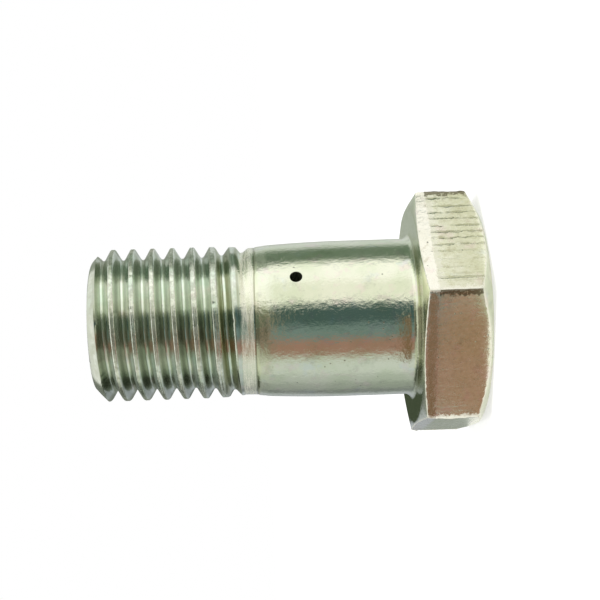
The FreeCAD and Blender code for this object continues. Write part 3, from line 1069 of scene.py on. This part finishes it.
# %% A helper for the finishes
def zinc_finish(name, thin=CREAM, thick=GREENISH, grain_stretch=(1, 1, 1), grain_size=3.0,
                coarse_share=0.5, bump=0.03, roughness=0.2, streaks=0.12, wear_and_highlight=0.8, specks=0.6,
                smudges=0.6, smudge_colour=SMUDGE_GREY, edge_scatter=0.5):
    """Zinc-plated steel. Gives its tree, shader and bump node, and its colour and height."""
    material = bpy.data.materials[name]
    material.use_nodes = True
    tree = material.node_tree
    shader = tree.nodes["Principled BSDF"]
    tint = place_group(tree, tint_group, Thin_film=thin, Thick_film=thick)
    grain = place_group(tree, grain_group, Size=grain_size, Coarse_share=coarse_share,
                        Stretched_place=millimetres(tree, stretch=grain_stretch))
    wear_highlight_mask = place_group(tree, wear_highlight_group, Amount=wear_and_highlight).outputs["Mask"]
    dirt = place_group(tree, speck_group, Specks=specks, Smudges=smudges)

    colour = colour_mix(tree, dirt.outputs["Smudges"], tint.outputs["Colour"], smudge_colour)
    colour = colour_mix(tree, dirt.outputs["Specks"], colour, SPECK_DARK)
    # Worn edges and crests are painted pale, partly as a painted highlight.
    colour = colour_mix(tree, wear_highlight_mask, colour, PALE_WEAR_AND_HIGHLIGHT)
    give(tree, shader.inputs["Base Color"], colour)

    rough = plus(tree, times(tree, grain.outputs["Streaks"], streaks), roughness)
    rough = plus(tree, rough, times(tree, dirt.outputs["Smudges"], 0.15))
    rough = plus(tree, rough, times(tree, wear_highlight_mask, 0.22), clamp=True)
    give(tree, shader.inputs["Roughness"], rough)
    scattering = times(tree, wear_highlight_mask, edge_scatter)
    give(tree, shader.inputs["Metallic"], maths(tree, "SUBTRACT", 1.0, scattering))

    pits = times(tree, dirt.outputs["Specks"], 0.6)
    height = maths(tree, "SUBTRACT", grain.outputs["Height"], pits)
    joined = {"Height": height, "Strength": 1.0, "Distance": bump * MM}
    bumped = add(tree, "ShaderNodeBump", joined)
    give(tree, shader.inputs["Normal"], bumped.outputs["Normal"])
    print("finish:", name, "nodes:", len(tree.nodes))
    return tree, shader, bumped, colour, height


print("helper: zinc_finish")


# %% Helpers for marks laid over a finish
def lay_over(tree, colour, mask, strength, over):
    """The colour with another one over it where the mask is, at a strength up to 1."""
    return colour_mix(tree, times(tree, mask, strength), colour, over)


def change(tree, socket, mask, amount):
    """Adds an amount to what already feeds a socket, where the mask is."""
    before = socket.links[0].from_socket
    give(tree, socket, plus(tree, before, times(tree, mask, amount), clamp=True))


print("helpers: lay_over, change")

# %% [markdown]
# ## Forged crown, torn band and drilled bore
# The crown keeps the soft skin of the forging. The band that the die tore is rougher and holds
# brown smudges. The bore is dull and darker, because little plating reaches it. None of them
# needs marks of its own.

# %% Forged crown
zinc_finish("zinc_forged", roughness=0.30, streaks=0.10, wear_and_highlight=0.5, smudges=0.3)

# %% Torn band
zinc_finish("zinc_torn", thin=(0.92, 0.90, 0.78, 1), thick=(0.88, 0.86, 0.72, 1), bump=0.06,
            specks=0.9, smudge_colour=(0.50, 0.43, 0.26, 1))

# %% Drilled bore
zinc_finish("drilled_bore", thin=(0.45, 0.46, 0.38, 1), thick=(0.30, 0.32, 0.26, 1),
            grain_stretch=(1, 1, 0.3), grain_size=4.0, coarse_share=0.4, bump=0.02,
            roughness=0.42, streaks=0.1, wear_and_highlight=0.2, specks=0.5)

# %% [markdown]
# ## Turned shank
# The shank is the smoothest part and mirrors the room, a little unevenly. The bearing face is
# stained, with dirt in the fillet. The neck keeps the fine rings of the turning tool, which make
# it satin, and a line of painted shade marks the small step in front of it.

# %% Turned shank: stain and dirt
tree, shader, bumped, colour, height = zinc_finish(
    "zinc_turned", grain_stretch=(1, 1, 0.8), grain_size=3.6, coarse_share=0.40, bump=0.040,
    roughness=0.10, wear_and_highlight=0.6, smudges=0.28)
stain_and_shade = kept_with_points(tree, "stain_and_groove_shade")
colour = colour_mix(tree, stain_and_shade, colour, (0.50, 0.53, 0.36, 1))
crumbs = noise(tree, 2.4, detail=4, roughness=0.65, stretch=(1, 1, 0.6), shift=(2, 2, 5))
dirt_mask = step_between(tree, shaken(tree, stain_and_shade, crumbs, 1.4), 1.05, 1.7)
colour = lay_over(tree, colour, dirt_mask, 0.85, (0.20, 0.19, 0.13, 1))
print("nodes with the dirt:", len(tree.nodes))

# %% Turned shank: satin neck, and painted shade at the step
STEP_SHADE_HEIGHT = 16.93
up = height_up(tree)
neck = times(tree, step_between(tree, up, NECK_START - 0.02, NECK_START + 0.06),
             step_between(tree, up, NECK_END + 0.07, NECK_END - 0.07))
rings = noise(tree, 2.2, detail=5, roughness=0.7, stretch=(0.25, 0.25, 3.0))
rings = plus(tree, times(tree, step_between(tree, rings, 0.36, 0.64), 0.7), 0.30)
neck = times(tree, neck, rings, clamp=True)
# A line of painted shade along the small step in front of the neck.
step_shade = maths(tree, "ABSOLUTE", maths(tree, "SUBTRACT", up, STEP_SHADE_HEIGHT))
step_shade = step_between(tree, step_shade, 0.08, 0.03)
colour = lay_over(tree, colour, neck, 0.7, BRIGHT_PALE)
colour = lay_over(tree, colour, step_shade, 0.7, (0.36, 0.36, 0.24, 1))
give(tree, shader.inputs["Base Color"], colour)
change(tree, shader.inputs["Roughness"], neck, 0.22)
change(tree, shader.inputs["Metallic"], neck, -0.42)
print("nodes of the turned finish:", len(tree.nodes))

# %% [markdown]
# ## Sheared flats
# The flats have a coarse grain along the axis and are rubbed in small patches. The score lines,
# the bright burr with its painted highlight and the painted shadow of the burr come from their
# group. The burr is rough and scatters light.

# %% Sheared flats
tree, shader, bumped, colour, height = zinc_finish(
    "zinc_sheared", thick=(0.78, 0.80, 0.58, 1), grain_stretch=(2.2, 2.2, 0.8), grain_size=2.4,
    coarse_share=0.55, bump=0.050, roughness=0.22, specks=0.8,
    smudge_colour=(0.58, 0.56, 0.38, 1))
rubbed = noise(tree, 2.6, detail=5, roughness=0.7, stretch=(1.3, 1.3, 1.0), shift=(6, 1, 5))
dull, polished = step_between(tree, rubbed, 0.50, 0.66), step_between(tree, rubbed, 0.48, 0.34)
colour = lay_over(tree, colour, dull, 0.34, (0.50, 0.46, 0.30, 1))
colour = lay_over(tree, colour, polished, 0.40, (1.0, 0.98, 0.88, 1))
scores = place_group(tree, score_group, Spacing=0.68, Other_flats=0.08)
burr_with_highlight = scores.outputs["Burr with highlight"]
colour = lay_over(tree, colour, scores.outputs["Mask"], 0.62, (0.38, 0.39, 0.23, 1))
# The burr is painted pale, partly as a painted highlight.
colour = lay_over(tree, colour, burr_with_highlight, 0.85, BRIGHT_PALE)
# Painted shadow of the burr along the other edge of each flat.
colour = lay_over(tree, colour, scores.outputs["Painted burr shadow"], 0.85, (0.16, 0.14, 0.08, 1))
give(tree, shader.inputs["Base Color"], colour)
change(tree, shader.inputs["Roughness"], burr_with_highlight, 0.35)
change(tree, shader.inputs["Metallic"], burr_with_highlight, -0.7)
height = plus(tree, height, times(tree, scores.outputs["Height"], 0.9))
give(tree, bumped.inputs["Height"], height)
print("nodes of the sheared finish:", len(tree.nodes))

# %% [markdown]
# ## Rolled thread
# Rolling leaves a smooth skin with a fine grain along the groove. The film is greener in some
# places, the crests are dabbed with dull spots where the metal folded, and the grooves carry a
# painted shade: olive beside the neck and grey-green further on. The chamfer at the end is
# blotched.

# %% Rolled thread: tint and crests
tree, shader, bumped, colour, height = zinc_finish(
    "zinc_rolled", thin=(0.86, 0.90, 0.80, 1), thick=(0.82, 0.87, 0.74, 1),
    grain_stretch=(0.25, 0.25, 1.6), grain_size=4.0, coarse_share=0.3, bump=0.016, roughness=0.17,
    streaks=0.10, wear_and_highlight=0.35, specks=0.4, smudges=0.15, edge_scatter=0.3)
greener = noise(tree, 0.7, detail=4, roughness=0.65, stretch=(0.6, 0.6, 0.9), shift=(9, 4, 2))
greener = step_between(tree, greener, 0.44, 0.62)
colour = lay_over(tree, colour, greener, 0.5, (0.62, 0.78, 0.62, 1))
dabs = noise(tree, 2.2, detail=5, roughness=0.7, shift=(1, 7, 3))
dabs = times(tree, step_between(tree, dabs, 0.40, 0.60), kept_with_points(tree, "wear_and_edge_highlight"))
colour = lay_over(tree, colour, dabs, 0.75, (0.42, 0.43, 0.34, 1))
print("nodes with the crests:", len(tree.nodes))

# %% Rolled thread: painted groove shade and the end chamfer
OLIVE_FROM, OLIVE_GONE = 19.3, 20.4
# Painted shade in the grooves: grey-green, and olive beside the neck.
shaded_grooves = place_group(tree, groove_shade_group, Patchiness=0.28).outputs["Mask"]
colour = colour_mix(tree, shaded_grooves, colour, (0.43, 0.47, 0.385, 1))
up = height_up(tree)
olive_shade = times(tree, shaded_grooves, step_between(tree, up, OLIVE_GONE, OLIVE_FROM))
colour = lay_over(tree, colour, olive_shade, 0.7, (0.37, 0.38, 0.20, 1))
near_end = step_between(tree, up, END_Z - 0.95, END_Z - 0.75)
blotches = noise(tree, 1.3, detail=5, roughness=0.65, shift=(3, 3, 0))
blotches = plus(tree, times(tree, step_between(tree, blotches, 0.35, 0.65), 0.6), 0.4)
colour = lay_over(tree, colour, near_end, blotches, (0.56, 0.59, 0.47, 1))
give(tree, shader.inputs["Base Color"], colour)
print("nodes of the rolled finish:", len(tree.nodes))

# %% [markdown]
# # Floor and backdrop
# The photo has a plain white background. The floor and the world are white to the camera and in
# reflections, at a strength of 1, while the light that falls on the bolt is set apart from that
# at a plain level. A part of the floor's white is a matt surface, so it keeps the bolt's shadow.


# %% Rays that see the background
def seen_directly(tree):
    """1 for camera, glossy and transmission rays, 0 for all others."""
    path = tree.nodes.new("ShaderNodeLightPath")
    seen = maths(tree, "MAXIMUM", path.outputs["Is Camera Ray"], path.outputs["Is Glossy Ray"])
    return maths(tree, "MAXIMUM", seen, path.outputs["Is Transmission Ray"])


print("rays that see a white background: camera, glossy, transmission")

# %% Floor
REACH = 3
FLOOR_GREY, FLOOR_GLOW = 0.55, 0.52
floor_mesh = bpy.data.meshes.new("floor")
floor_corners = [(-REACH, -REACH, 0), (REACH, -REACH, 0), (REACH, REACH, 0), (-REACH, REACH, 0)]
floor_mesh.from_pydata(floor_corners, [], [(0, 1, 2, 3)])
floor = bpy.data.objects.new("floor", floor_mesh)
bpy.context.scene.collection.objects.link(floor)
pale = bpy.data.materials.new("pale_floor")
pale.use_nodes = True
tree = pale.node_tree
matt = tree.nodes["Principled BSDF"]
matt.inputs["Base Color"].default_value = (FLOOR_GREY, FLOOR_GREY, FLOOR_GREY, 1)
matt.inputs["Roughness"].default_value = 1.0
matt.inputs["Specular IOR Level"].default_value = 0.0
matt.inputs["Emission Color"].default_value = (1, 1, 1, 1)
give(tree, matt.inputs["Emission Strength"], times(tree, seen_directly(tree), FLOOR_GLOW))
floor_mesh.materials.append(pale)
print("floor:", 2 * REACH, "metres wide")

# %% World
ROOM_LIGHT = 1.0
world = bpy.data.worlds.new("white_room")
bpy.context.scene.world = world
world.use_nodes = True
tree = world.node_tree
background = tree.nodes["Background"]
background.inputs["Color"].default_value = (1, 1, 1, 1)
strength = stretched(tree, seen_directly(tree), 0.0, 1.0, ROOM_LIGHT, 1.0)
give(tree, background.inputs["Strength"], strength)
print("light of the room:", ROOM_LIGHT)

# %% [markdown]
# # What the metal mirrors
# Bright metal has hardly any colour of its own: the bands along the shank are mirrored cards and
# room. As in a photo studio, cards stand round the bolt, each of one plain tone. They are open
# strips that run along the floor and then up, so that the flats of the head mirror them as well.
# Only reflections see them: they cast no light or shadow on the floor.
#
# A zone is a card's outline, as distances from the axis and heights. Each part of the bolt
# mirrors its own zone. A card's place is given as the angle about the bolt's axis, counted from
# the camera's side and upwards in the picture, and it ends where the next one starts.

# %% Zones of the cards
CAMERA_AZIMUTH = -70.4
FLOOR_ZONE = [(10.2, 0.05), (16.0, 0.05), (28.0, 0.05), (30.0, 0.3)]
BAND_ZONE = [(12.2, 4.25), (12.3, 5.4)]
SHANK_ZONE = [(30.0, 0.3), (31.0, 8.0), (31.5, 19.4)]
TAPER_ZONE = [(31.5, 19.4), (31.6, 23.0)]
THREAD_ZONE = [(31.6, 23.0), (32.0, 40.0), (31.5, 52.0)]
print("the cards stand about", SHANK_ZONE[1][0], "mm from the axis")

# %% Tones of the cards
CARDS = {
    "floor": (FLOOR_ZONE, [
        (-180, (0.36, 0.39, 0.37)), (-112, (0.50, 0.54, 0.52)), (-52, (0.385, 0.238, 0.173)),
        (-10, (0.55, 0.56, 0.47)), (26, (0.84, 0.83, 0.76)), (90, (0.60, 0.62, 0.56)), (180, None),
    ]),
    "shank": (SHANK_ZONE, [
        (-180, (0.07, 0.09, 0.055)), (-158, (0.45, 0.48, 0.52)), (-135, (0.20, 0.22, 0.23)),
        (-120, (0.33, 0.36, 0.36)), (-100, (0.46, 0.50, 0.50)), (-81, (0.60, 0.65, 0.645)),
        (-57, (0.50, 0.52, 0.48)), (-49, (0.345, 0.205, 0.165)), (-27, (0.17, 0.24, 0.24)),
        (-8, (0.065, 0.11, 0.11)), (20.5, (0.96, 0.96, 0.91)), (52, (1.12, 1.12, 1.12)),
        (84, (0.155, 0.21, 0.16)), (120, (0.66, 0.70, 0.70)), (150, (0.50, 0.54, 0.48)),
        (180, None),
    ]),
    "band": (BAND_ZONE, [(-52, (0.19, 0.12, 0.068)), (0, None)]),
    "taper": (TAPER_ZONE, [
        (-180, (0.30, 0.32, 0.30)), (-125, (0.30, 0.32, 0.31)), (-100, (0.50, 0.54, 0.52)),
        (-81, (0.62, 0.64, 0.61)), (-57, (0.45, 0.43, 0.39)), (-49, (0.27, 0.21, 0.165)),
        (-8, (0.30, 0.265, 0.20)), (12, (0.60, 0.60, 0.54)), (20.5, (1.10, 1.10, 1.12)),
        (52, (1.22, 1.22, 1.30)), (78, (0.26, 0.31, 0.26)), (120, (0.62, 0.66, 0.66)), (180, None),
    ]),
    "thread": (THREAD_ZONE, [
        (-180, (0.20, 0.22, 0.19)), (-125, (0.07, 0.08, 0.06)), (-96, (0.34, 0.39, 0.32)),
        (-84, (0.66, 0.69, 0.60)), (-60, (0.46, 0.47, 0.40)), (-38, (0.18, 0.165, 0.13)),
        (-28, (0.12, 0.115, 0.085)), (-8, (0.12, 0.15, 0.11)), (15, (0.42, 0.44, 0.33)),
        (23, (0.95, 0.97, 0.88)), (40, (1.16, 1.19, 1.14)), (79, (0.52, 0.58, 0.48)),
        (92, (0.22, 0.26, 0.21)), (128, (0.34, 0.37, 0.32)), (180, None),
    ]),
}
print("tones:", {zone: len(tones) - 1 for zone, (outline, tones) in CARDS.items()})


# %% Shape and glow of a card
def card_shape(name, outline, start, finish):
    """A strip of the bowl round the bolt, from one angle to another."""
    steps = max(2, int(abs(finish - start) / 4))
    corners, skin = [], []
    for i in range(steps + 1):
        turn = math.radians(CAMERA_AZIMUTH + start + (finish - start) * i / steps)
        corners += [(r * math.cos(turn) * MM, r * math.sin(turn) * MM, z * MM) for r, z in outline]
    count = len(outline)
    for i in range(steps):
        for k in range(count - 1):
            a, b = i * count + k, (i + 1) * count + k
            skin.append((a, b, b + 1, a + 1))
    shape = bpy.data.meshes.new(name)
    shape.from_pydata(corners, [], skin)
    return shape


def card_glow(name, tone):
    """One plain tone that shines by itself and lights nothing."""
    glow = bpy.data.materials.new(name)
    glow.use_nodes = True
    shader = glow.node_tree.nodes["Principled BSDF"]
    shader.inputs["Base Color"].default_value = (0, 0, 0, 1)
    shader.inputs["Specular IOR Level"].default_value = 0.0
    shader.inputs["Emission Color"].default_value = (*tone, 1)
    shader.inputs["Emission Strength"].default_value = 1.0
    glow.cycles.emission_sampling = "NONE"
    return glow


print("helpers: card_shape, card_glow")

# %% Reflection cards
card_count = 0
for zone, (outline, tones) in CARDS.items():
    for (start, tone), (finish, _) in zip(tones, tones[1:]):
        card_count += 1
        name = f"card_{zone}_{card_count}"
        shape = card_shape(name, outline, start, finish)
        shape.materials.append(card_glow(name, tone))
        card = bpy.data.objects.new(name, shape)
        bpy.context.scene.collection.objects.link(card)
        card.visible_camera = card.visible_diffuse = card.visible_shadow = False
print("cards:", card_count)

# %% [markdown]
# # Lamp and camera
# One large soft lamp from above gives the floor a gentle shadow. The camera stands where the
# photo was taken from: beside the bolt, turned so that the bolt lies across the picture. Its
# place was found by fitting the solid model's outline to the photo's, which is surer than
# turning it by eye.

# %% Lamp
LAMP_PLACE = Vector((0.10, -0.12, 0.42))
lamp_data = bpy.data.lights.new("soft_lamp", "AREA")
lamp_data.shape = "DISK"
lamp_data.size = 0.35
lamp_data.energy = 0.75
lamp = bpy.data.objects.new("soft_lamp", lamp_data)
facing_bolt = LAMP_PLACE.to_track_quat("Z", "Y").to_matrix().to_4x4()
lamp.matrix_world = Matrix.Translation(LAMP_PLACE) @ facing_bolt
lamp.visible_glossy = False
bpy.context.scene.collection.objects.link(lamp)
print("lamp:", lamp_data.energy, "watts,", round(LAMP_PLACE.length, 2), "metres away")

# %% Camera
camera_data = bpy.data.cameras.new("camera")
camera_data.lens = 70.25
camera_data.sensor_width = 36
camera_data.shift_y = 0.075
camera_data.clip_start = 0.005
camera = bpy.data.objects.new("camera", camera_data)
# The first three columns are the camera's right, up and backward, and the last is its place.
camera.matrix_world = Matrix((
    (-0.01983, 0.93440, 0.35568, 0.030385),
    (-0.04145, 0.35467, -0.93408, -0.085291),
    (-0.99894, -0.03326, 0.03169, 0.016438),
    (0, 0, 0, 1),
))
bpy.context.scene.collection.objects.link(camera)
bpy.context.scene.camera = camera
bpy.context.scene.view_settings.view_transform = "Standard"
print("camera:", round(camera.matrix_world.translation.length, 3), "metres from the crown")

# %% [markdown]
# The dressed bolt may stand only a little proud of the solid model's box.

# Finish
# The view layer is brought up to date.

# %% Finish
bpy.context.view_layer.update()
